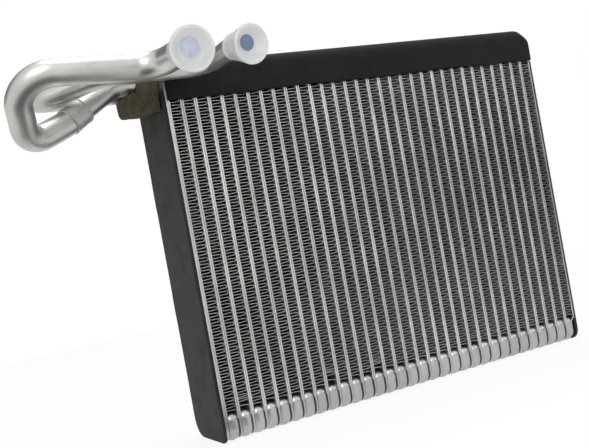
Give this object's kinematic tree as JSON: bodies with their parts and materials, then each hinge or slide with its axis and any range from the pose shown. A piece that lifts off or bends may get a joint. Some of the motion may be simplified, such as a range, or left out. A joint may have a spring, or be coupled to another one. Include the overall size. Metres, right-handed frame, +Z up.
{
  "type": "air conditioning evaporator",
  "caption": "Upright laminated plate-and-fin evaporator core with pressed tanks, foam-wrapped top and sides, and two bent aluminium pipes ending in flared plastic shipping caps.",
  "frame": {"origin": "under the middle of the core's tubes and depth, on the plane that the bottom tank rests on", "axes": "+X along the core away from the pipes, +Y back through the core away from the capped pipe ends, +Z up"},
  "size_m": [0.4068, 0.1358, 0.2482],
  "materials": {
    "aluminium_core": "satin",
    "fin_aluminium": "satin",
    "pipe_aluminium": "satin",
    "sleeve_aluminium": "matte",
    "black_foam": "matte",
    "khaki_foam": "matte",
    "cap_plastic": "satin"
  },
  "bodies": {
    "root": {"tube_01": "aluminium_core", "tube_02": "aluminium_core", "tube_03": "aluminium_core", "tube_04": "aluminium_core", "tube_05": "aluminium_core", "tube_06": "aluminium_core", "tube_07": "aluminium_core", "tube_08": "aluminium_core", "tube_09": "aluminium_core", "tube_10": "aluminium_core", "tube_11": "aluminium_core", "tube_12": "aluminium_core", "tube_13": "aluminium_core", "tube_14": "aluminium_core", "tube_15": "aluminium_core", "tube_16": "aluminium_core", "tube_17": "aluminium_core", "tube_18": "aluminium_core", "tube_19": "aluminium_core", "tube_20": "aluminium_core", "tube_21": "aluminium_core", "tube_22": "aluminium_core", "tube_23": "aluminium_core", "tube_24": "aluminium_core", "tube_25": "aluminium_core", "tube_26": "aluminium_core", "tube_27": "aluminium_core", "tube_28": "aluminium_core", "tube_29": "aluminium_core", "tube_30": "aluminium_core", "tube_31": "aluminium_core", "tube_32": "aluminium_core", "fins_01": "fin_aluminium", "fins_02": "fin_aluminium", "fins_03": "fin_aluminium", "fins_04": "fin_aluminium", "fins_05": "fin_aluminium", "fins_06": "fin_aluminium", "fins_07": "fin_aluminium", "fins_08": "fin_aluminium", "fins_09": "fin_aluminium", "fins_10": "fin_aluminium", "fins_11": "fin_aluminium", "left_end_plate": "aluminium_core", "right_end_plate": "aluminium_core", "left_side_foam": "black_foam", "right_side_foam": "black_foam", "top_foam_wrap": "black_foam", "suction_stub_pipe": "pipe_aluminium", "suction_union_sleeve": "sleeve_aluminium", "suction_pipe": "pipe_aluminium", "liquid_pipe": "pipe_aluminium", "suction_cap": "cap_plastic", "liquid_cap": "cap_plastic", "pipe_root_foam": "khaki_foam"}
  },
  "joints": []
}
